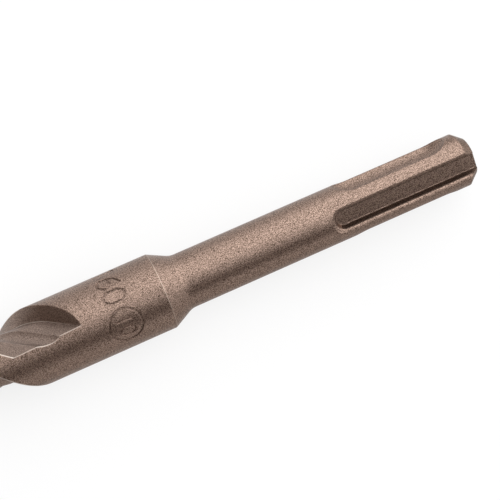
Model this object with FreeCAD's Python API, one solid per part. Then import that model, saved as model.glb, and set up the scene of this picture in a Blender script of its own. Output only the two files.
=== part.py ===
import FreeCAD, Part
import math
import os

# A hammer drill bit with an SDS plus shank, lying on its side. Millimetres.
# The bit's axis runs along X with the shank's end at +X and the cutting tip at -X.
# The origin lies on the ground under the middle of the bit, and +Z is up.
# "Station" is the distance along the axis from the shank's end towards the tip.
# "Bearing" is the angle round the axis, 0 degrees at the top and positive towards +Y.

# Whole bit
OVERALL_LENGTH = 160.0
CUTTING_DIAMETER = 16.0
BODY_DIAMETER = 13.9
POINT_ANGLE = 130.0

# Shank and neck
SHANK_DIAMETER = 10.0
END_FACE_DIAMETER = 7.0
END_BEVEL_LENGTH = 1.8

# Cone between the neck and the thicker body
SHOULDER_STATION = 60.8
CONE_ANGLE = 27.0
CONE_FOOT_RADIUS = 3.0
SHOULDER_EDGE_RADIUS = 0.25

# Two open drive grooves, opposite each other
GROOVE_COUNT = 2
DRIVE_GROOVE_BEARING = -21.0
DRIVE_GROOVE_LENGTH = 28.6
DRIVE_GROOVE_DEPTH = 2.0
DRIVE_GROOVE_FLOOR_WIDTH = 2.7
DRIVE_GROOVE_WALL_DRAFT = 21.0
DRIVE_GROOVE_LIP_RADIUS = 0.6
DRIVE_GROOVE_LIP_STEPS = 3
DRIVE_GROOVE_LIP_REACH = 0.4
DRIVE_GROOVE_LIP_RISE = 0.1

# Two closed locking grooves, a quarter turn from the drive grooves
LOCK_GROOVE_TURN = 90.0
LOCK_GROOVE_START = 3.6
LOCK_GROOVE_LENGTH = 22.3
LOCK_GROOVE_DEPTH = 2.17
LOCK_GROOVE_RADIUS = 4.3

# Two right-handed flutes, milled by a wide wheel whose rim has sloping sides
FLUTE_COUNT = 2
FLUTE_LEAD = 40.0
FLUTE_END_STATION = 75.7
FLUTE_END_BEARING = 49.0
FLUTE_CORE_RADIUS = 4.25
FLUTE_FLOOR_LENGTH = 12.7
FLUTE_WALL_LEAN = 35.5
WHEEL_ANGLE = 44.5
WHEEL_RADIUS = 160.0
CHANNEL_START = 4.1
CHANNEL_END = 8.4
CHANNEL_DEPTH = 0.45

# Head, where the flutes narrow and run straight beside the cutting plate
HEAD_LENGTH = 12.0
HEAD_FLUTE_SHARE = 0.72
SHORTEST_EASING = 10.0

# Carbide cutting plate, brazed into a slot across the head
PLATE_THICKNESS = 3.0
PLATE_HEIGHT = 11.0
PLATE_PROUD = 1.1
PLATE_RELIEF_ANGLE = 22.0
PLATE_CORNER_BEVEL = 0.8
BRAZE_THICKNESS = 0.12

# Shallow stamps on the body: a ring round the shank's diameter, and the bit's length
STAMP_DEPTH = 0.2
STAMP_LINE = 0.32
RING_STATION = 69.0
RING_BEARING = -25.5
RING_DIAMETER = 6.2
DIGIT_HEIGHT = 2.6
DIGIT_WIDTH = 1.5
DIGIT_GAP = 0.6
LENGTH_STAMP_BEARING = 46.0
LENGTH_STAMP_SCALE = 1.5

# Corners of each digit's one stroke, on a grid of columns and rows
GRID_COLUMNS = 2.0
GRID_ROWS = 4.0
DIGIT_STROKES = {
    "0": [(0, 1), (0, 3), (0.6, 4), (1.4, 4), (2, 3), (2, 1), (1.4, 0), (0.6, 0), (0, 1)],
    "1": [(0.4, 3.2), (1, 4), (1, 0)],
    "2": [(0, 3.2), (0.6, 4), (1.4, 4), (2, 3.2), (2, 2.4), (0, 0), (2, 0)],
    "3": [(0, 4), (2, 4), (1, 2.4), (2, 1.6), (2, 0.8), (1.4, 0), (0.6, 0), (0, 0.7)],
    "4": [(1.5, 0), (1.5, 4), (0, 1.2), (2, 1.2)],
    "5": [(2, 4), (0.2, 4), (0, 2.2), (1.3, 2.4), (2, 1.7), (2, 0.8), (1.4, 0), (0.5, 0), (0, 0.5)],
    "6": [
        (1.7, 4), (0.6, 3.2), (0, 1.8), (0, 0.8), (0.6, 0),
        (1.4, 0), (2, 0.8), (2, 1.4), (1.4, 2.2), (0.3, 2),
    ],
    "7": [(0, 4), (2, 4), (0.8, 0)],
    "8": [
        (1, 2.2), (0.1, 3), (0.1, 3.5), (0.6, 4), (1.4, 4), (1.9, 3.5), (1.9, 3), (1, 2.2),
        (0, 1.4), (0, 0.7), (0.6, 0), (1.4, 0), (2, 0.7), (2, 1.4), (1, 2.2),
    ],
    "9": [
        (0.3, 0), (1.4, 0.8), (2, 2.2), (2, 3.2), (1.4, 4),
        (0.6, 4), (0, 3.2), (0, 2.6), (0.6, 1.8), (1.7, 2),
    ],
}

# Fineness of the flute's surface
LENGTH_IN_ONE_FACE = 4.0
STATION_STEP = 1.0
POINTS_PER_STRIP = 5

# How far the cutting shapes reach past what they cut
CUTTER_HEIGHT = 6.0
OVERSHOOT = 1.5

FULL_TURN = 360.0
HALF_TURN = FULL_TURN / 2
QUARTER_TURN = FULL_TURN / 4
BODY_RADIUS = BODY_DIAMETER / 2
SHANK_RADIUS = SHANK_DIAMETER / 2
CUTTING_RADIUS = CUTTING_DIAMETER / 2
AXIS_HEIGHT = BODY_RADIUS
SHANK_END_X = OVERALL_LENGTH / 2
AXIS = FreeCAD.Vector(1, 0, 0)
LENGTHWISE = FreeCAD.Vector(-1, 0, 0)

# The blank's seam line runs midway between two grooves
BLANK_SEAM_BEARING = DRIVE_GROOVE_BEARING - LOCK_GROOVE_TURN / 2


def tangent(degrees):
    return math.tan(math.radians(degrees))


def on_axis(station):
    return FreeCAD.Vector(SHANK_END_X - station, 0, AXIS_HEIGHT)


def outward(bearing):
    angle = math.radians(bearing)
    return FreeCAD.Vector(0, math.sin(angle), math.cos(angle))


def sideways(bearing):
    angle = math.radians(bearing)
    return FreeCAD.Vector(0, math.cos(angle), -math.sin(angle))


def place(station, bearing, side, height):
    """A point set out from the axis: to the side of a bearing, and outwards along it."""
    return on_axis(station) + sideways(bearing) * side + outward(bearing) * height


def spaced_round(shape, count):
    """Copies of a shape spaced evenly round the axis."""
    copies = []
    for index in range(count):
        copy = shape.copy()
        copy.rotate(on_axis(0), AXIS, FULL_TURN * index / count)
        copies.append(copy)
    return copies


def blank():
    """The turned blank: shank, neck, cone, body and the cone of the steel head."""
    half_point = POINT_ANGLE / 2
    steel_top = PLATE_PROUD
    cone_length = (BODY_RADIUS - SHANK_RADIUS) / tangent(CONE_ANGLE)
    foot_setback = CONE_FOOT_RADIUS * tangent(CONE_ANGLE / 2)
    cone_foot = SHOULDER_STATION - cone_length
    slope = math.radians(CONE_ANGLE)
    arc_end = foot_setback * math.cos(slope)
    arc_rise = foot_setback * math.sin(slope)
    half_slope = slope / 2
    arc_middle = CONE_FOOT_RADIUS * math.sin(half_slope)
    arc_middle_rise = CONE_FOOT_RADIUS * (1 - math.cos(half_slope))
    edge_setback = SHOULDER_EDGE_RADIUS * tangent(CONE_ANGLE / 2)
    edge_drop = SHOULDER_EDGE_RADIUS * (1 - math.cos(slope))
    edge_middle = SHOULDER_EDGE_RADIUS * math.sin(half_slope)
    edge_middle_drop = SHOULDER_EDGE_RADIUS * (1 - math.cos(half_slope))

    def spot(station, radius):
        return place(station, BLANK_SEAM_BEARING, 0, radius)

    end_centre = spot(0, 0)
    end_rim = spot(0, END_FACE_DIAMETER / 2)
    bevel_foot = spot(END_BEVEL_LENGTH, SHANK_RADIUS)
    arc_a = spot(cone_foot - foot_setback, SHANK_RADIUS)
    arc_b = spot(cone_foot - foot_setback + arc_middle, SHANK_RADIUS + arc_middle_rise)
    arc_c = spot(cone_foot + arc_end, SHANK_RADIUS + arc_rise)
    edge_station = SHOULDER_STATION + edge_setback
    edge_length = SHOULDER_EDGE_RADIUS * math.sin(slope)
    edge_a = spot(edge_station - edge_length, BODY_RADIUS - edge_drop)
    edge_b = spot(edge_station - edge_middle, BODY_RADIUS - edge_middle_drop)
    edge_c = spot(edge_station, BODY_RADIUS)
    head_rim = spot(OVERALL_LENGTH - steel_top - (BODY_RADIUS / tangent(half_point)), BODY_RADIUS)
    steel_tip = spot(OVERALL_LENGTH - steel_top, 0)
    edges = [
        Part.makeLine(end_centre, end_rim),
        Part.makeLine(end_rim, bevel_foot),
        Part.makeLine(bevel_foot, arc_a),
        Part.Arc(arc_a, arc_b, arc_c).toShape(),
        Part.makeLine(arc_c, edge_a),
        Part.Arc(edge_a, edge_b, edge_c).toShape(),
        Part.makeLine(edge_c, head_rim),
        Part.makeLine(head_rim, steel_tip),
        Part.makeLine(steel_tip, end_centre),
    ]
    return Part.Face(Part.Wire(edges)).revolve(on_axis(0), AXIS, FULL_TURN)


def drive_groove_side():
    """Half-widths and heights up the groove's side: its floor, its wall and its rounded lip."""
    lean = math.radians(DRIVE_GROOVE_WALL_DRAFT)
    floor = SHANK_RADIUS - DRIVE_GROOVE_DEPTH
    start_side = DRIVE_GROOVE_FLOOR_WIDTH / 2 + DRIVE_GROOVE_LIP_RADIUS * math.cos(lean)
    start_height = floor - DRIVE_GROOVE_LIP_RADIUS * math.sin(lean)
    square = 1 + math.tan(lean) ** 2
    half_linear = start_side * math.tan(lean) + start_height
    rest = start_side**2 + start_height**2 - (SHANK_RADIUS - DRIVE_GROOVE_LIP_RADIUS) ** 2
    rise = (math.sqrt(half_linear**2 - square * rest) - half_linear) / square
    centre_side = start_side + rise * math.tan(lean)
    centre_height = start_height + rise
    side = [(DRIVE_GROOVE_FLOOR_WIDTH / 2, floor)]
    for index in range(DRIVE_GROOVE_LIP_STEPS + 1):
        angle = lean + (math.pi / 2 - lean) * index / DRIVE_GROOVE_LIP_STEPS
        half_width = centre_side - DRIVE_GROOVE_LIP_RADIUS * math.cos(angle)
        height = centre_height + DRIVE_GROOVE_LIP_RADIUS * math.sin(angle)
        side.append((half_width, height))
    clear_side = centre_side + DRIVE_GROOVE_LIP_RADIUS * DRIVE_GROOVE_LIP_REACH
    side.append((clear_side, height + DRIVE_GROOVE_LIP_RADIUS * DRIVE_GROOVE_LIP_RISE))
    side.append((clear_side, height + OVERSHOOT))
    return side


def drive_groove_outline(half_width, height, centre):
    """The groove's outline at one height: open at the shank's end, round at its start."""

    def spot(station, side):
        return place(station, DRIVE_GROOVE_BEARING, side, height)

    first = spot(-OVERSHOOT, -half_width)
    second = spot(centre, -half_width)
    tip = spot(centre + half_width, 0)
    third = spot(centre, half_width)
    last = spot(-OVERSHOOT, half_width)
    edges = [
        Part.makeLine(first, second),
        Part.Arc(second, tip, third).toShape(),
        Part.makeLine(third, last),
        Part.makeLine(last, first),
    ]
    return Part.Wire(edges)


def drive_groove():
    side = drive_groove_side()
    last_of_lip = DRIVE_GROOVE_LIP_STEPS + 1
    lip_half_width = side[last_of_lip][0]
    centre = DRIVE_GROOVE_LENGTH - lip_half_width
    outlines = [drive_groove_outline(half_width, height, centre) for half_width, height in side]
    return Part.makeLoft(outlines, True, True)


def lock_groove():
    """A long shallow hollow with round ends, as a ball-ended cutter leaves it."""
    bearing = DRIVE_GROOVE_BEARING + LOCK_GROOVE_TURN
    centre_height = SHANK_RADIUS - LOCK_GROOVE_DEPTH + LOCK_GROOVE_RADIUS
    deepest = LOCK_GROOVE_RADIUS - LOCK_GROOVE_DEPTH
    run_in = math.sqrt(LOCK_GROOVE_RADIUS**2 - deepest**2)
    straight = LOCK_GROOVE_LENGTH - 2 * run_in
    start = place(LOCK_GROOVE_START + run_in, bearing, 0, centre_height)
    end = place(LOCK_GROOVE_START + run_in + straight, bearing, 0, centre_height)
    middle = Part.makeCylinder(LOCK_GROOVE_RADIUS, straight, start, LENGTHWISE)
    near_ball = Part.makeSphere(LOCK_GROOVE_RADIUS, start)
    far_ball = Part.makeSphere(LOCK_GROOVE_RADIUS, end)
    return middle.fuse([near_ball, far_ball])


TURN_PER_MM = FULL_TURN / FLUTE_LEAD
FLOOR_HALF_CHORD = math.sqrt(BODY_RADIUS**2 - FLUTE_CORE_RADIUS**2)
FOOT_DISTANCE = FLOOR_HALF_CHORD / tangent(WHEEL_ANGLE)
TIP_DISTANCE = OVERALL_LENGTH - FLUTE_END_STATION
STRAIGHT_DISTANCE = TIP_DISTANCE - HEAD_LENGTH


def head_turn():
    """The flutes' whole turn and its easing length, chosen so that the plate lies level."""
    head_land = HALF_TURN - TURN_PER_MM * FLUTE_FLOOR_LENGTH * HEAD_FLUTE_SHARE
    level_turn = QUARTER_TURN - FLUTE_END_BEARING + TURN_PER_MM * FOOT_DISTANCE - head_land / 2
    most = TURN_PER_MM * (STRAIGHT_DISTANCE - SHORTEST_EASING / 2)
    halves = math.floor((most - level_turn) / HALF_TURN)
    turn = level_turn + HALF_TURN * halves
    easing = 2 * (STRAIGHT_DISTANCE - turn / TURN_PER_MM)
    return turn, easing


HEAD_TURN, EASING_LENGTH = head_turn()
EASING_START = STRAIGHT_DISTANCE - EASING_LENGTH


def flute_turn(distance):
    """How far the flutes have turned at a distance from their end, in degrees."""
    eased = min(max(distance - EASING_START, 0.0), EASING_LENGTH)
    steady = min(distance, EASING_START)
    return TURN_PER_MM * (steady + eased - eased**2 / (2 * EASING_LENGTH))


def flute_share(distance):
    """The floor's width at a distance from the flute's end, as a share of its full width."""
    eased = min(max(distance - EASING_START, 0.0), EASING_LENGTH) / EASING_LENGTH
    smooth = eased**2 * (3 - 2 * eased)
    return 1.0 - (1.0 - HEAD_FLUTE_SHARE) * smooth


def rim_rise(across, past_foot):
    """How far the wheel's rim has curved up from the floor, behind the wheel's lowest point."""
    along = math.cos(math.radians(WHEEL_ANGLE))
    offset = (across - FLUTE_FLOOR_LENGTH / 2) * along
    at_foot = min(offset, 0.0)
    here = min(offset + past_foot / along, 0.0)
    return (here**2 - at_foot**2) / (2 * WHEEL_RADIUS)


def floor_height(across):
    """The floor's distance from the axis, with the channel between its two ridges."""
    height = FLUTE_CORE_RADIUS
    if CHANNEL_START < across < CHANNEL_END:
        share = (across - CHANNEL_START) / (CHANNEL_END - CHANNEL_START)
        height -= CHANNEL_DEPTH * 4 * share * (1 - share)
    return height


def flute_point(distance, across, height, lean=0.0):
    """A point of the flute's section: along its helix, or along the wheel's last straight cut."""
    past_foot = distance - across - FOOT_DISTANCE
    side = lean
    if past_foot < 0:
        side += past_foot * tangent(WHEEL_ANGLE)
        height += rim_rise(across, past_foot)
        turn = 0.0
    else:
        reach = across * flute_share(distance)
        turn = flute_turn(distance) - TURN_PER_MM * (reach + FOOT_DISTANCE)
    return place(FLUTE_END_STATION + distance, FLUTE_END_BEARING + turn, side, height)


def strip(points):
    curve = Part.BSplineCurve()
    curve.interpolate(points)
    return curve.toShape()


def across_values(start, end):
    steps = POINTS_PER_STRIP - 1
    return [start + (end - start) * index / steps for index in range(POINTS_PER_STRIP)]


def flute_section(distance):
    """The closed outline of a flute's space, square to the axis."""
    top = FLUTE_CORE_RADIUS + CUTTER_HEIGHT
    lean = CUTTER_HEIGHT * tangent(FLUTE_WALL_LEAN)
    edges = []
    breaks = [0.0, CHANNEL_START, CHANNEL_END, FLUTE_FLOOR_LENGTH]
    for start, end in zip(breaks[:-1], breaks[1:]):
        points = [flute_point(distance, a, floor_height(a)) for a in across_values(start, end)]
        edges.append(strip(points))
    wall_top = flute_point(distance, 0.0, top, lean)
    far_top = flute_point(distance, FLUTE_FLOOR_LENGTH, top, -lean)
    wall_foot = flute_point(distance, 0.0, FLUTE_CORE_RADIUS)
    far_foot = flute_point(distance, FLUTE_FLOOR_LENGTH, FLUTE_CORE_RADIUS)
    roof = [flute_point(distance, a, top) for a in across_values(0.0, FLUTE_FLOOR_LENGTH)]
    edges.append(Part.makeLine(far_foot, far_top))
    edges.append(strip([far_top] + roof[::-1] + [wall_top]))
    edges.append(Part.makeLine(wall_top, wall_foot))
    return Part.Wire(edges)


def flute_lengths():
    """The space that the milling wheel clears, as short lengths from its last cut to beyond the tip."""
    first = -OVERSHOOT
    last = TIP_DISTANCE + OVERSHOOT
    count = math.ceil((last - first) / LENGTH_IN_ONE_FACE)
    steps = math.ceil((last - first) / count / STATION_STEP)
    spacing = (last - first) / (count * steps)
    lengths = []
    for number in range(count):
        start = first + number * steps * spacing
        outlines = [flute_section(start + index * spacing) for index in range(steps + 1)]
        lengths.append(Part.makeLoft(outlines, True, False))
    return lengths


def plate_envelope(thickness, height, width):
    """A block across the head, level, with its top at the very tip."""
    corner = on_axis(OVERALL_LENGTH)
    corner += FreeCAD.Vector(0, -width / 2, -thickness / 2)
    return Part.makeBox(height, width, thickness, corner)


def half_roof(side):
    """The space above one cutting edge: it falls towards the rim and behind the edge."""
    ridge_drop = PLATE_THICKNESS / 2 * tangent(PLATE_RELIEF_ANGLE)
    tip = on_axis(OVERALL_LENGTH + ridge_drop)
    edge_line = FreeCAD.Vector(1, side * tangent(POINT_ANGLE / 2), 0)
    edge_line.normalize()
    relief_line = FreeCAD.Vector(tangent(PLATE_RELIEF_ANGLE), 0, side)
    relief_line.normalize()
    size = CUTTING_DIAMETER * 2
    start = tip + FreeCAD.Vector(0, 0, -side * PLATE_THICKNESS / 2)
    start -= edge_line * size / 2
    start -= relief_line * size / 2
    outline = [
        start,
        start + edge_line * size,
        start + edge_line * size + relief_line * size,
        start + relief_line * size,
        start,
    ]
    face = Part.Face(Part.makePolygon(outline))
    return face.extrude(FreeCAD.Vector(-size, 0, 0))


def carbide_plate():
    """A flat plate with a roof-shaped cutting end and bevelled lower corners."""
    plate = plate_envelope(PLATE_THICKNESS, PLATE_HEIGHT, CUTTING_DIAMETER)
    for side in (-1, 1):
        plate = plate.cut(half_roof(side))
    foot = on_axis(OVERALL_LENGTH - PLATE_HEIGHT)
    wedge_depth = 2 * PLATE_THICKNESS
    for side in (-1, 1):
        corner = foot + FreeCAD.Vector(0, side * CUTTING_RADIUS, 0)
        inner = corner + FreeCAD.Vector(0, -side * PLATE_CORNER_BEVEL, 0)
        upper = corner + FreeCAD.Vector(-PLATE_CORNER_BEVEL, 0, 0)
        triangle = Part.makePolygon([corner, inner, upper, corner])
        wedge = Part.Face(triangle)
        wedge.translate(FreeCAD.Vector(0, 0, -wedge_depth / 2))
        plate = plate.cut(wedge.extrude(FreeCAD.Vector(0, 0, wedge_depth)))
    return plate


def plate_slot():
    thickness = PLATE_THICKNESS + 2 * BRAZE_THICKNESS
    height = PLATE_HEIGHT + BRAZE_THICKNESS
    return plate_envelope(thickness, height, CUTTING_DIAMETER * 2)


def stroke_bar(start, end):
    """A straight stroke of a stamped digit, as a rectangle in the digit's own plane."""
    along = (end - start).normalize()
    across = FreeCAD.Vector(-along.y, along.x, 0) * STAMP_LINE / 2
    first = start - along * STAMP_LINE / 2
    last = end + along * STAMP_LINE / 2
    outline = [first - across, last - across, last + across, first + across, first - across]
    return Part.Face(Part.makePolygon(outline))


def stroke_ring(centre, radius):
    """A round stroke, as a flat ring."""
    outer = Part.Wire(Part.makeCircle(radius + STAMP_LINE / 2, centre))
    inner = Part.Wire(Part.makeCircle(radius - STAMP_LINE / 2, centre))
    return Part.Face(outer).cut(Part.Face(inner))


def digit(character, scale):
    """A stamped digit made of straight strokes, centred in its own flat plane."""
    points = []
    for column, row in DIGIT_STROKES[character]:
        across = (column / GRID_COLUMNS - 0.5) * DIGIT_WIDTH * scale
        upward = (row / GRID_ROWS - 0.5) * DIGIT_HEIGHT * scale
        points.append(FreeCAD.Vector(across, upward, 0))
    bars = [stroke_bar(start, end) for start, end in zip(points[:-1], points[1:])]
    return bars[0].multiFuse(bars[1:]).removeSplitter()


def press(face, station, bearing):
    """Stands a flat mark on the body at a bearing, with its top towards the shank."""
    core = Part.makeCylinder(BODY_RADIUS - STAMP_DEPTH, OVERALL_LENGTH, on_axis(0), LENGTHWISE)
    start = place(station, bearing, 0, 0)
    up = outward(bearing)
    right = -sideways(bearing)
    matrix = FreeCAD.Matrix(
        right.x, AXIS.x, up.x, start.x,
        right.y, AXIS.y, up.y, start.y,
        right.z, AXIS.z, up.z, start.z,
        0, 0, 0, 1,
    )
    solid = face.extrude(FreeCAD.Vector(0, 0, BODY_RADIUS + OVERSHOOT))
    solid.transformShape(matrix)
    return solid.cut(core)


def stamp_number(number, station, bearing, scale):
    """Digits rolled on round the body, side by side about a bearing."""
    pitch = math.degrees((DIGIT_WIDTH + DIGIT_GAP) * scale / BODY_RADIUS)
    text = f"{number:.0f}"
    marks = []
    for index, character in enumerate(text):
        face = digit(character, scale)
        offset = ((len(text) - 1) / 2 - index) * pitch
        marks.append(press(face, station, bearing + offset))
    return marks


def stamps():
    ring = stroke_ring(FreeCAD.Vector(0, 0, 0), (RING_DIAMETER - STAMP_LINE) / 2)
    marks = [press(ring, RING_STATION, RING_BEARING)]
    marks += stamp_number(SHANK_DIAMETER, RING_STATION, RING_BEARING, 1.0)
    marks += stamp_number(OVERALL_LENGTH, RING_STATION, LENGTH_STAMP_BEARING, LENGTH_STAMP_SCALE)
    return marks


def drill_body():
    body = blank()
    grooves = spaced_round(drive_groove(), GROOVE_COUNT)
    grooves += spaced_round(lock_groove(), GROOVE_COUNT)
    body = body.cut(grooves)
    spaces = []
    for length in flute_lengths():
        spaces += spaced_round(length, FLUTE_COUNT)
    body = body.cut(spaces)
    body = body.cut(plate_slot())
    return body.cut(stamps())


def braze_seam(plate):
    """The braze between the plate and the slot: both faces and the foot."""
    seam = plate_slot().common(blank())
    return seam.cut(plate)


def export(shape, name):
    solids = shape.Solids
    solid = solids[0] if len(solids) == 1 else Part.makeCompound(solids)
    solid.exportStep(f"parts/{name}.step")
    box = solid.BoundBox
    print(name, len(solids), "solids, valid", solid.isValid(), "volume", round(solid.Volume, 1), box)


def main():
    os.makedirs("parts", exist_ok=True)
    plate = carbide_plate()
    export(drill_body(), "drill_body")
    export(plate, "carbide_plate")
    export(braze_seam(plate), "braze_seam")


main()
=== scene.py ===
import math

import bpy
from mathutils import Matrix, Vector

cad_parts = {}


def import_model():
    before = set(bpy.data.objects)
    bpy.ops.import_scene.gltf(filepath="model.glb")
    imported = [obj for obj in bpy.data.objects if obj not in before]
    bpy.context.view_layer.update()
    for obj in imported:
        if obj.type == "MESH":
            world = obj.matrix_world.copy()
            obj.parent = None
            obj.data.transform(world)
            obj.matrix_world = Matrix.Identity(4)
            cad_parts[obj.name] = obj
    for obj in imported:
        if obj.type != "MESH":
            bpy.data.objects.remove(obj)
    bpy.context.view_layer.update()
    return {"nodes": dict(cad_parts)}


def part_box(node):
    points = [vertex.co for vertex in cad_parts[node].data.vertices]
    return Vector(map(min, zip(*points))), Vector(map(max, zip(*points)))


# The looks of a hammer drill bit that lies on a pale floor, seen from straight above.
# Lengths are in metres and angles in degrees. The bit's axis runs along X, the shank towards +X.
# A station is a distance along the bit, from the shank's end towards the tip.
# A bearing is an angle around the bit's axis, from straight up towards +Y.
# Upward and rightward are angles from straight above, towards the picture's top and right.

MM = 0.001
WHITE = (1.0, 1.0, 1.0)
OPAQUE = 1.0

# Camera, as fitted to the photograph
IMAGE_PIXELS = 500
FOCAL_PIXELS = 1458.0
SENSOR_WIDTH_MM = 36.0
CAMERA_PLACE = (-1.97 * MM, 0.0, 261.82 * MM)
CAMERA_YAW = 8.594
CAMERA_PITCH = -0.065
CAMERA_ROLL = 23.733
CLIP_START = 0.01
CLIP_END = 10.0

# All metals
METALLIC = 1.0
BUMP_STRENGTH = 1.0
NOISE_BUMPS_PER_GRAIN = 1.0

# Blasted steel
STEEL_DARK = (0.070, 0.045, 0.033)
STEEL_LIGHT = (0.415, 0.297, 0.240)
STEEL_ROUGHNESS = 0.38
EDGE_ROUNDING = 0.3 * MM

# Grain of the steel, and the noise at which it is darkest, middling and lightest
STEEL_GRAIN = (0.13 * MM, 0.13 * MM, 0.13 * MM)
STEEL_DEPTH = 0.03 * MM
STEEL_OCTAVES = 1.0
STEEL_DARKEST = 0.39
STEEL_MIDDLE = 0.5
STEEL_LIGHTEST = 0.61

# Milled faces of the flutes, cooler in colour and with less of the grain
FLUTE_COUNT = 2
FLUTE_LEAD = 40 * MM
FLUTE_STATION = 74.8 * MM
MILLED_DEPTH = 0.15 * MM
MILLED_TINT = (1.0, 1.05, 1.09)
MILLED_GRAIN_LOSS = 0.5

# Trailing rims of the flutes, and the bearing that parts them from the leading rims. Their pale
# line is worn steel and a painted highlight.
# Paler steel of the lines: worn steel and painted highlight on the rims, painted highlight at the
# walls' foot
WEAR_AND_HIGHLIGHT_STEEL = (0.60, 0.52, 0.46)
RIM_WIDTH = 0.22 * MM
RIM_FAINTEST = 0.04
RIM_STRONGEST = 0.2
RIM_FIRST_BEARING = 2.0
RIM_TURN_STATION = 84.5 * MM

# Foot of the flutes' walls, whose pale line, a painted highlight, fades in along the bit
FOOT_WIDTH = 0.2 * MM
FOOT_FAINTEST = 0.06
FOOT_STRONGEST = 0.17
FOOT_FADE_START = 77 * MM
FOOT_FADE_END = 86 * MM

# Painted highlight, a bright line at the shoulder
SHOULDER_HIGHLIGHT_STEEL = (0.38, 0.3, 0.25)
SHOULDER_STATION = 60.75 * MM
SHOULDER_HALF_WIDTH = 0.06 * MM

# Steep walls of the grooves, darkened as painted shade, which all lie nearer the shank's end than
# this station.
# A wall is told by how little it looks away from the axis, and an end face by how much along it.
GROOVE_STATION = 40 * MM
WALL_SHADE_TINT = (0.34, 0.34, 0.34)
WALL_FACING_START = 0.26
WALL_FACING_END = 0.12
END_FACE_LEAST = 0.5

# Cutting plate, with the fine lines of the grinding wheel
CARBIDE_DARK = (0.135, 0.13, 0.125)
CARBIDE_LIGHT = (0.29, 0.283, 0.275)
CARBIDE_ROUGHNESS = 0.38
CARBIDE_GRAIN = (0.09 * MM, 1.8 * MM, 0.09 * MM)
CARBIDE_DEPTH = 0.008 * MM

# Braze, with the soft ripple of metal that ran and froze
BRAZE_DARK = (0.33, 0.19, 0.07)
BRAZE_LIGHT = (0.58, 0.39, 0.18)
BRAZE_ROUGHNESS = 0.45
BRAZE_GRAIN = (0.35 * MM, 0.35 * MM, 0.35 * MM)
BRAZE_DEPTH = 0.03 * MM

# Noise of plate and braze, and where in it both are darkest and lightest
FIELD_OCTAVES = 2.0
FIELD_DARKEST = 0.35
FIELD_LIGHTEST = 0.65

# World, white where it is seen and duller where it only lights
SEEN_RAYS = ("Is Camera Ray", "Is Glossy Ray", "Is Transmission Ray")
SEEN_LEVEL = 1.0
WORLD_LEVEL = 0.8

# Floor, which shows only a share of the light and shadow that fall on it
FLOOR_SIZE = 6.0
FLOOR_COLOUR = (0.93, 0.93, 0.93)
FLOOR_SHADE_SHARE = 0.22

# Lamp
LAMP_SIZE = 0.94
LAMP_POWER = 3.65
LAMP_DISTANCE = 0.6
LAMP_UPWARD = 45.0
LAMP_RIGHTWARD = 20.0

# Cards that hang around the bit
HUNG_CARD_TINT = (1.0, 0.85, 0.76)
HUNG_CARD_DISTANCE = 0.6
NEAR_CARD_LEVEL = 0.16
NEAR_CARD_LENGTH = 2.2
NEAR_CARD_WIDTH = 0.5
NEAR_CARD_UPWARD = -45.0
NEAR_CARD_RIGHTWARD = 0.0
LEFT_CARD_LEVEL = 0.3
LEFT_CARD_LENGTH = 0.8
LEFT_CARD_WIDTH = 1.2
LEFT_CARD_UPWARD = -35.0
LEFT_CARD_RIGHTWARD = -72.0

# Cards that lie on the floor, one past the shank's end and one under the bit's near side
LYING_CARD_TINT = (1.0, 0.95, 0.91)
RIGHT_CARD_LEVEL = 0.64
RIGHT_CARD_LENGTH = 0.6
RIGHT_CARD_WIDTH = 0.8
RIGHT_CARD_GAP = 6 * MM
RIGHT_CARD_LIFT = 0.4 * MM
FLOOR_CARD_LEVEL = 0.66
FLOOR_CARD_LENGTH = 1.2
FLOOR_CARD_WIDTH = 0.4
FLOOR_CARD_OFFSET = 4 * MM
FLOOR_CARD_LIFT = 0.2 * MM


# Places on the bit

def axis_height():
    """The height of the bit's axis. The bit lies on its round body, so this is its radius too."""
    low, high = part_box("drill_body")
    return (low[2] + high[2]) / 2


def place_at(station):
    """The place along X of a station."""
    shank_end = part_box("drill_body")[1][0]
    return shank_end - station


# Shader nodes

def rgba(colour):
    """The colour as a node takes it."""
    return (*colour, OPAQUE)


def calculate(tree, operation, *values):
    """The result of a maths node. Each value is a socket or a number."""
    node = tree.nodes.new("ShaderNodeMath")
    node.operation = operation
    for socket, value in zip(node.inputs, values):
        if isinstance(value, (int, float)):
            socket.default_value = value
        else:
            tree.links.new(value, socket)
    return node.outputs["Value"]


def rise(tree, value, start, end):
    """A share that goes evenly from 0 to 1 while the value goes from start to end."""
    node = tree.nodes.new("ShaderNodeMapRange")
    node.inputs["From Min"].default_value = start
    node.inputs["From Max"].default_value = end
    tree.links.new(value, node.inputs["Value"])
    return node.outputs["Result"]


def blend(tree, way, share, colour, other):
    """The colour, blended to a share with another one. The way is Blender's name for it."""
    node = tree.nodes.new("ShaderNodeMixRGB")
    node.blend_type = way
    tree.links.new(share, node.inputs["Fac"])
    tree.links.new(colour, node.inputs["Color1"])
    node.inputs["Color2"].default_value = rgba(other)
    return node.outputs["Color"]


def noise(tree, grain, octaves):
    """Noise around 0.5, whose bumps have the grain's size along X, Y and Z."""
    place = tree.nodes.new("ShaderNodeTexCoord")
    in_grains = tree.nodes.new("ShaderNodeMapping")
    in_grains.inputs["Scale"].default_value = [1.0 / size for size in grain]
    tree.links.new(place.outputs["Object"], in_grains.inputs["Vector"])
    field = tree.nodes.new("ShaderNodeTexNoise")
    field.inputs["Scale"].default_value = NOISE_BUMPS_PER_GRAIN
    field.inputs["Detail"].default_value = octaves
    tree.links.new(in_grains.outputs["Vector"], field.inputs["Vector"])
    return field.outputs["Fac"]


def two_tone(tree, field, darkest, dark, lightest, light):
    """A colour, dark up to where the field is darkest and light from where it is lightest."""
    node = tree.nodes.new("ShaderNodeValToRGB")
    first, last = node.color_ramp.elements
    first.position = darkest
    first.color = rgba(dark)
    last.position = lightest
    last.color = rgba(light)
    tree.links.new(field, node.inputs["Fac"])
    return node.outputs["Color"]


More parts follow.
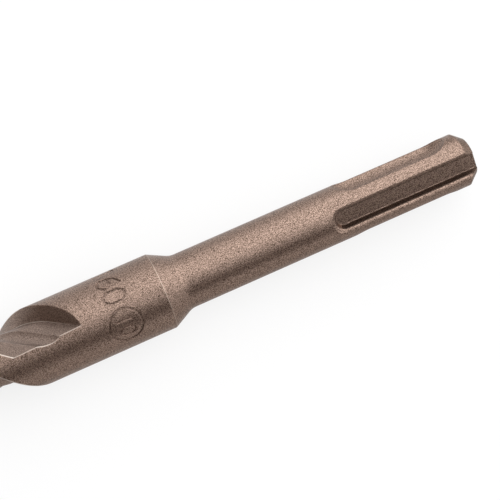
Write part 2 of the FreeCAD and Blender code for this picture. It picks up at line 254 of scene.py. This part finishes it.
def roughen(tree, shader, field, depth):
    """Gives the shader's surface bumps as high as the field times the depth."""
    bump = tree.nodes.new("ShaderNodeBump")
    bump.inputs["Strength"].default_value = BUMP_STRENGTH
    bump.inputs["Distance"].default_value = depth
    tree.links.new(field, bump.inputs["Height"])
    tree.links.new(bump.outputs["Normal"], shader.inputs["Normal"])
    return bump


def glow(tree, colour, level):
    """A surface of one colour, which no light or shadow changes."""
    node = tree.nodes.new("ShaderNodeEmission")
    node.inputs["Color"].default_value = rgba(colour)
    node.inputs["Strength"].default_value = level
    return node.outputs["Emission"]


def seen_share(tree):
    """1 for a ray that shows what it meets, directly or mirrored, and 0 for one that lights it."""
    path = tree.nodes.new("ShaderNodeLightPath")
    camera, glossy, clear = [path.outputs[name] for name in SEEN_RAYS]
    direct_or_glossy = calculate(tree, "MAXIMUM", camera, glossy)
    return calculate(tree, "MAXIMUM", direct_or_glossy, clear)


def mix_shaders(tree, share, first, second, output):
    """Ends the tree in the first shader, mixed to a share with the second."""
    mix = tree.nodes.new("ShaderNodeMixShader")
    tree.links.new(share, mix.inputs["Fac"])
    tree.links.new(first, mix.inputs[1])
    tree.links.new(second, mix.inputs[2])
    tree.links.new(mix.outputs["Shader"], output.inputs["Surface"])


def new_material(name):
    """A material, its empty tree and the tree's output."""
    material = bpy.data.materials.new(name)
    material.use_nodes = True
    tree = material.node_tree
    tree.nodes.clear()
    output = tree.nodes.new("ShaderNodeOutputMaterial")
    return material, tree, output


# Metals

def metal(name, roughness):
    """A bare metal that still needs its colour."""
    material, tree, output = new_material(name)
    shader = tree.nodes.new("ShaderNodeBsdfPrincipled")
    shader.inputs["Metallic"].default_value = METALLIC
    shader.inputs["Roughness"].default_value = roughness
    tree.links.new(shader.outputs["BSDF"], output.inputs["Surface"])
    return material, tree, shader


def milled_share(tree, fluted, sideways, height):
    """1 on the milled faces of the flutes, which lie below the round body, and 0 elsewhere."""
    side_square = calculate(tree, "MULTIPLY", sideways, sideways)
    height_square = calculate(tree, "MULTIPLY", height, height)
    square = calculate(tree, "ADD", height_square, side_square)
    milled_radius = axis_height() - MILLED_DEPTH
    inside = calculate(tree, "LESS_THAN", square, milled_radius**2)
    return calculate(tree, "MULTIPLY", fluted, inside)


def even_grain(tree, milled, grain):
    """The grain, drawn towards its middle on the milled faces."""
    loss = calculate(tree, "MULTIPLY", milled, MILLED_GRAIN_LOSS)
    share = calculate(tree, "SUBTRACT", 1.0, loss)
    offset = calculate(tree, "SUBTRACT", grain, STEEL_MIDDLE)
    kept_offset = calculate(tree, "MULTIPLY", offset, share)
    return calculate(tree, "ADD", kept_offset, STEEL_MIDDLE)


def edge_share(tree, inside, width, faintest, strongest):
    """How near a point is to an outward edge, or with inside False to a closed corner."""
    depth = tree.nodes.new("ShaderNodeAmbientOcclusion")
    depth.inside = inside
    depth.only_local = True
    depth.inputs["Distance"].default_value = width
    return rise(tree, depth.outputs["AO"], 1.0 - faintest, 1.0 - strongest)


def rim_wear_and_highlight_share(tree, fluted, along, sideways, height):
    """1 on the trailing rims, worn and painted with a highlight, each in the half of its flute's
    sector that ends at the border.
    """
    sharp = edge_share(tree, True, RIM_WIDTH, RIM_FAINTEST, RIM_STRONGEST)
    past_turn = calculate(tree, "SUBTRACT", place_at(RIM_TURN_STATION), along)
    turned = calculate(tree, "MULTIPLY", past_turn, math.tau / FLUTE_LEAD)
    border = calculate(tree, "MAXIMUM", turned, math.radians(RIM_FIRST_BEARING))
    bearing = calculate(tree, "ARCTAN2", sideways, height)
    before_border = calculate(tree, "SUBTRACT", border, bearing)
    wave = calculate(tree, "SINE", calculate(tree, "MULTIPLY", before_border, FLUTE_COUNT))
    trailing = calculate(tree, "GREATER_THAN", wave, 0.0)
    on_flute = calculate(tree, "MULTIPLY", fluted, trailing)
    return calculate(tree, "MULTIPLY", on_flute, sharp)


def foot_highlight_share(tree, along):
    """1 at the foot of the flutes' walls, where a painted highlight line lies, once it has faded
    in along the bit.
    """
    corner = edge_share(tree, False, FOOT_WIDTH, FOOT_FAINTEST, FOOT_STRONGEST)
    fade = rise(tree, along, place_at(FOOT_FADE_START), place_at(FOOT_FADE_END))
    return calculate(tree, "MULTIPLY", corner, fade)


def wear_and_highlight_lines(tree, fluted, along, sideways, height, colour):
    """The colour, paler in lines: worn steel and a painted highlight on the trailing rims, and a
    painted highlight at the walls' foot and at the shoulder.
    """
    rim = rim_wear_and_highlight_share(tree, fluted, along, sideways, height)
    wear_and_highlight_share = calculate(tree, "MAXIMUM", rim, foot_highlight_share(tree, along))
    # Paler steel on the rims is wear and painted highlight, and at the walls' foot it is painted
    # highlight
    worn_and_highlit = blend(tree, "MIX", wear_and_highlight_share, colour, WEAR_AND_HIGHLIGHT_STEEL)
    # Painted highlight: a thin bright line at the shoulder
    shoulder = place_at(SHOULDER_STATION)
    at_shoulder = calculate(tree, "COMPARE", along, shoulder, SHOULDER_HALF_WIDTH)
    return blend(tree, "MIX", at_shoulder, worn_and_highlit, SHOULDER_HIGHLIGHT_STEEL)


def paint_wall_shade(tree, along, sideways, height, colour):
    """The colour, darker on the steep walls of the shank's grooves: painted shade."""
    away = tree.nodes.new("ShaderNodeCombineXYZ")
    tree.links.new(sideways, away.inputs["Y"])
    tree.links.new(height, away.inputs["Z"])
    outward = tree.nodes.new("ShaderNodeVectorMath")
    outward.operation = "NORMALIZE"
    tree.links.new(away.outputs["Vector"], outward.inputs[0])
    surface = tree.nodes.new("ShaderNodeNewGeometry")
    facing = tree.nodes.new("ShaderNodeVectorMath")
    facing.operation = "DOT_PRODUCT"
    tree.links.new(surface.outputs["True Normal"], facing.inputs[0])
    tree.links.new(outward.outputs["Vector"], facing.inputs[1])
    facing_either_way = calculate(tree, "ABSOLUTE", facing.outputs["Value"])
    steep = rise(tree, facing_either_way, WALL_FACING_START, WALL_FACING_END)
    normal = tree.nodes.new("ShaderNodeSeparateXYZ")
    tree.links.new(surface.outputs["True Normal"], normal.inputs["Vector"])
    lengthways = calculate(tree, "ABSOLUTE", normal.outputs["X"])
    on_side = calculate(tree, "LESS_THAN", lengthways, END_FACE_LEAST)
    on_shank = calculate(tree, "GREATER_THAN", along, place_at(GROOVE_STATION))
    grooved = calculate(tree, "MULTIPLY", on_side, on_shank)
    wall = calculate(tree, "MULTIPLY", grooved, steep)
    # Painted shade on the steep walls of the grooves
    return blend(tree, "MULTIPLY", wall, colour, WALL_SHADE_TINT)


def blasted_steel():
    """Warm grey-brown steel, matt from sand-blasting, with a fine grain in colour and height."""
    material, tree, shader = metal("blasted_steel", STEEL_ROUGHNESS)
    place = tree.nodes.new("ShaderNodeTexCoord")
    parts = tree.nodes.new("ShaderNodeSeparateXYZ")
    tree.links.new(place.outputs["Object"], parts.inputs["Vector"])
    along = parts.outputs["X"]
    sideways = parts.outputs["Y"]
    height = calculate(tree, "SUBTRACT", parts.outputs["Z"], axis_height())
    fluted = calculate(tree, "LESS_THAN", along, place_at(FLUTE_STATION))
    milled = milled_share(tree, fluted, sideways, height)
    grain = even_grain(tree, milled, noise(tree, STEEL_GRAIN, STEEL_OCTAVES))
    speckled = two_tone(
        tree, grain, STEEL_DARKEST, STEEL_DARK, STEEL_LIGHTEST, STEEL_LIGHT
    )
    cooler = blend(tree, "MULTIPLY", milled, speckled, MILLED_TINT)
    shaded = paint_wall_shade(tree, along, sideways, height, cooler)
    lined = wear_and_highlight_lines(tree, fluted, along, sideways, height, shaded)
    tree.links.new(lined, shader.inputs["Base Color"])
    bump = roughen(tree, shader, grain, STEEL_DEPTH)
    rounding = tree.nodes.new("ShaderNodeBevel")
    rounding.inputs["Radius"].default_value = EDGE_ROUNDING
    tree.links.new(rounding.outputs["Normal"], bump.inputs["Normal"])
    return material


def grained_metal(name, dark, light, roughness, grain, depth):
    """Metal whose colour and height vary by a grain with this size along X, Y and Z."""
    material, tree, shader = metal(name, roughness)
    field = noise(tree, grain, FIELD_OCTAVES)
    colour = two_tone(tree, field, FIELD_DARKEST, dark, FIELD_LIGHTEST, light)
    tree.links.new(colour, shader.inputs["Base Color"])
    roughen(tree, shader, field, depth)
    return material


def carbide():
    """Hard metal, ground across the plate."""
    return grained_metal(
        "carbide", CARBIDE_DARK, CARBIDE_LIGHT, CARBIDE_ROUGHNESS, CARBIDE_GRAIN, CARBIDE_DEPTH
    )


def braze():
    """The golden metal that holds the plate in its slot."""
    return grained_metal(
        "braze", BRAZE_DARK, BRAZE_LIGHT, BRAZE_ROUGHNESS, BRAZE_GRAIN, BRAZE_DEPTH
    )


def dress(node, material):
    """Gives a node this material and no other."""
    node.data.materials.clear()
    node.data.materials.append(material)


# Studio

def background(tree, level):
    """A white sky at this level of light."""
    node = tree.nodes.new("ShaderNodeBackground")
    node.inputs["Color"].default_value = rgba(WHITE)
    node.inputs["Strength"].default_value = level
    return node.outputs["Background"]


def light_world():
    """White where it is seen, directly or in the metal, and a plain level of light elsewhere."""
    world = bpy.data.worlds.new("studio")
    bpy.context.scene.world = world
    world.use_nodes = True
    tree = world.node_tree
    tree.nodes.clear()
    output = tree.nodes.new("ShaderNodeOutputWorld")
    lit = background(tree, WORLD_LEVEL)
    seen = background(tree, SEEN_LEVEL)
    mix_shaders(tree, seen_share(tree), lit, seen, output)


def sheet(name, length, width, material):
    """A flat level sheet around its own middle, with its length along X."""
    half_length = length / 2
    half_width = width / 2
    corners = [
        (-half_length, -half_width, 0),
        (half_length, -half_width, 0),
        (half_length, half_width, 0),
        (-half_length, half_width, 0),
    ]
    mesh = bpy.data.meshes.new(name)
    mesh.from_pydata(corners, [], [(0, 1, 2, 3)])
    mesh.materials.append(material)
    item = bpy.data.objects.new(name, mesh)
    bpy.context.scene.collection.objects.link(item)
    return item


def lay_floor():
    """A white floor that keeps a soft part of the bit's shadow."""
    material, tree, output = new_material("floor_white")
    matt = tree.nodes.new("ShaderNodeBsdfDiffuse")
    matt.inputs["Color"].default_value = rgba(FLOOR_COLOUR)
    white = glow(tree, WHITE, SEEN_LEVEL)
    share = calculate(tree, "MULTIPLY", seen_share(tree), 1.0 - FLOOR_SHADE_SHARE)
    mix_shaders(tree, share, matt.outputs["BSDF"], white, output)
    sheet("floor", FLOOR_SIZE, FLOOR_SIZE, material)


def turn(axis, degrees):
    """A turn around an axis through the origin."""
    return Matrix.Rotation(math.radians(degrees), 4, axis)


def aim(item, upward, rightward, distance):
    """Stands an item off from the bit's middle, turned to face it, squared up with the picture."""
    swing = turn("Z", -CAMERA_ROLL) @ turn("X", -upward) @ turn("Y", rightward)
    centre = Matrix.Translation((0, 0, axis_height()))
    item.matrix_world = centre @ swing @ Matrix.Translation((0, 0, distance))


def hang_lamp():
    """One large soft lamp on the far side of the bit."""
    data = bpy.data.lights.new("soft_lamp", "AREA")
    data.shape = "SQUARE"
    data.size = LAMP_SIZE
    data.energy = LAMP_POWER
    lamp = bpy.data.objects.new("soft_lamp", data)
    bpy.context.scene.collection.objects.link(lamp)
    aim(lamp, LAMP_UPWARD, LAMP_RIGHTWARD, LAMP_DISTANCE)


def card(name, level, length, width, tint):
    """A card darker than the white studio, seen only in the metal."""
    material, tree, output = new_material(name)
    tree.links.new(glow(tree, tint, level), output.inputs["Surface"])
    item = sheet(name, length, width, material)
    item.visible_camera = False
    item.visible_diffuse = False
    item.visible_shadow = False
    return item


def hang_cards():
    """A card high on the near side, and a paler one low on the left."""
    near = card("near_card", NEAR_CARD_LEVEL, NEAR_CARD_LENGTH, NEAR_CARD_WIDTH, HUNG_CARD_TINT)
    aim(near, NEAR_CARD_UPWARD, NEAR_CARD_RIGHTWARD, HUNG_CARD_DISTANCE)
    left = card("left_card", LEFT_CARD_LEVEL, LEFT_CARD_LENGTH, LEFT_CARD_WIDTH, HUNG_CARD_TINT)
    aim(left, LEFT_CARD_UPWARD, LEFT_CARD_RIGHTWARD, HUNG_CARD_DISTANCE)


def lay_cards():
    """A card past the shank's end, and one that starts under the bit and comes nearer."""
    right = card(
        "right_card", RIGHT_CARD_LEVEL, RIGHT_CARD_LENGTH, RIGHT_CARD_WIDTH, LYING_CARD_TINT
    )
    right_station = -RIGHT_CARD_GAP - RIGHT_CARD_LENGTH / 2
    right.location = (place_at(right_station), 0, RIGHT_CARD_LIFT)
    low = card(
        "floor_card", FLOOR_CARD_LEVEL, FLOOR_CARD_LENGTH, FLOOR_CARD_WIDTH, LYING_CARD_TINT
    )
    low.location = (0, -FLOOR_CARD_OFFSET - FLOOR_CARD_WIDTH / 2, FLOOR_CARD_LIFT)


def place_camera():
    """The fitted angles turn the world to face the camera, so the camera has their inverse."""
    data = bpy.data.cameras.new("camera")
    data.sensor_width = SENSOR_WIDTH_MM
    data.lens = FOCAL_PIXELS / IMAGE_PIXELS * SENSOR_WIDTH_MM
    data.clip_start = CLIP_START
    data.clip_end = CLIP_END
    camera = bpy.data.objects.new("camera", data)
    bpy.context.scene.collection.objects.link(camera)
    to_camera = turn("Z", CAMERA_ROLL) @ turn("X", CAMERA_PITCH) @ turn("Y", CAMERA_YAW)
    camera.matrix_world = Matrix.Translation(CAMERA_PLACE) @ to_camera.transposed()
    bpy.context.scene.camera = camera


def main():
    bpy.ops.wm.read_factory_settings(use_empty=True)
    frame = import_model()
    nodes = frame["nodes"]
    dress(nodes["drill_body"], blasted_steel())
    dress(nodes["carbide_plate"], carbide())
    dress(nodes["braze_seam"], braze())
    light_world()
    lay_floor()
    hang_lamp()
    hang_cards()
    lay_cards()
    place_camera()
    bpy.context.scene.view_settings.view_transform = "Standard"


main()
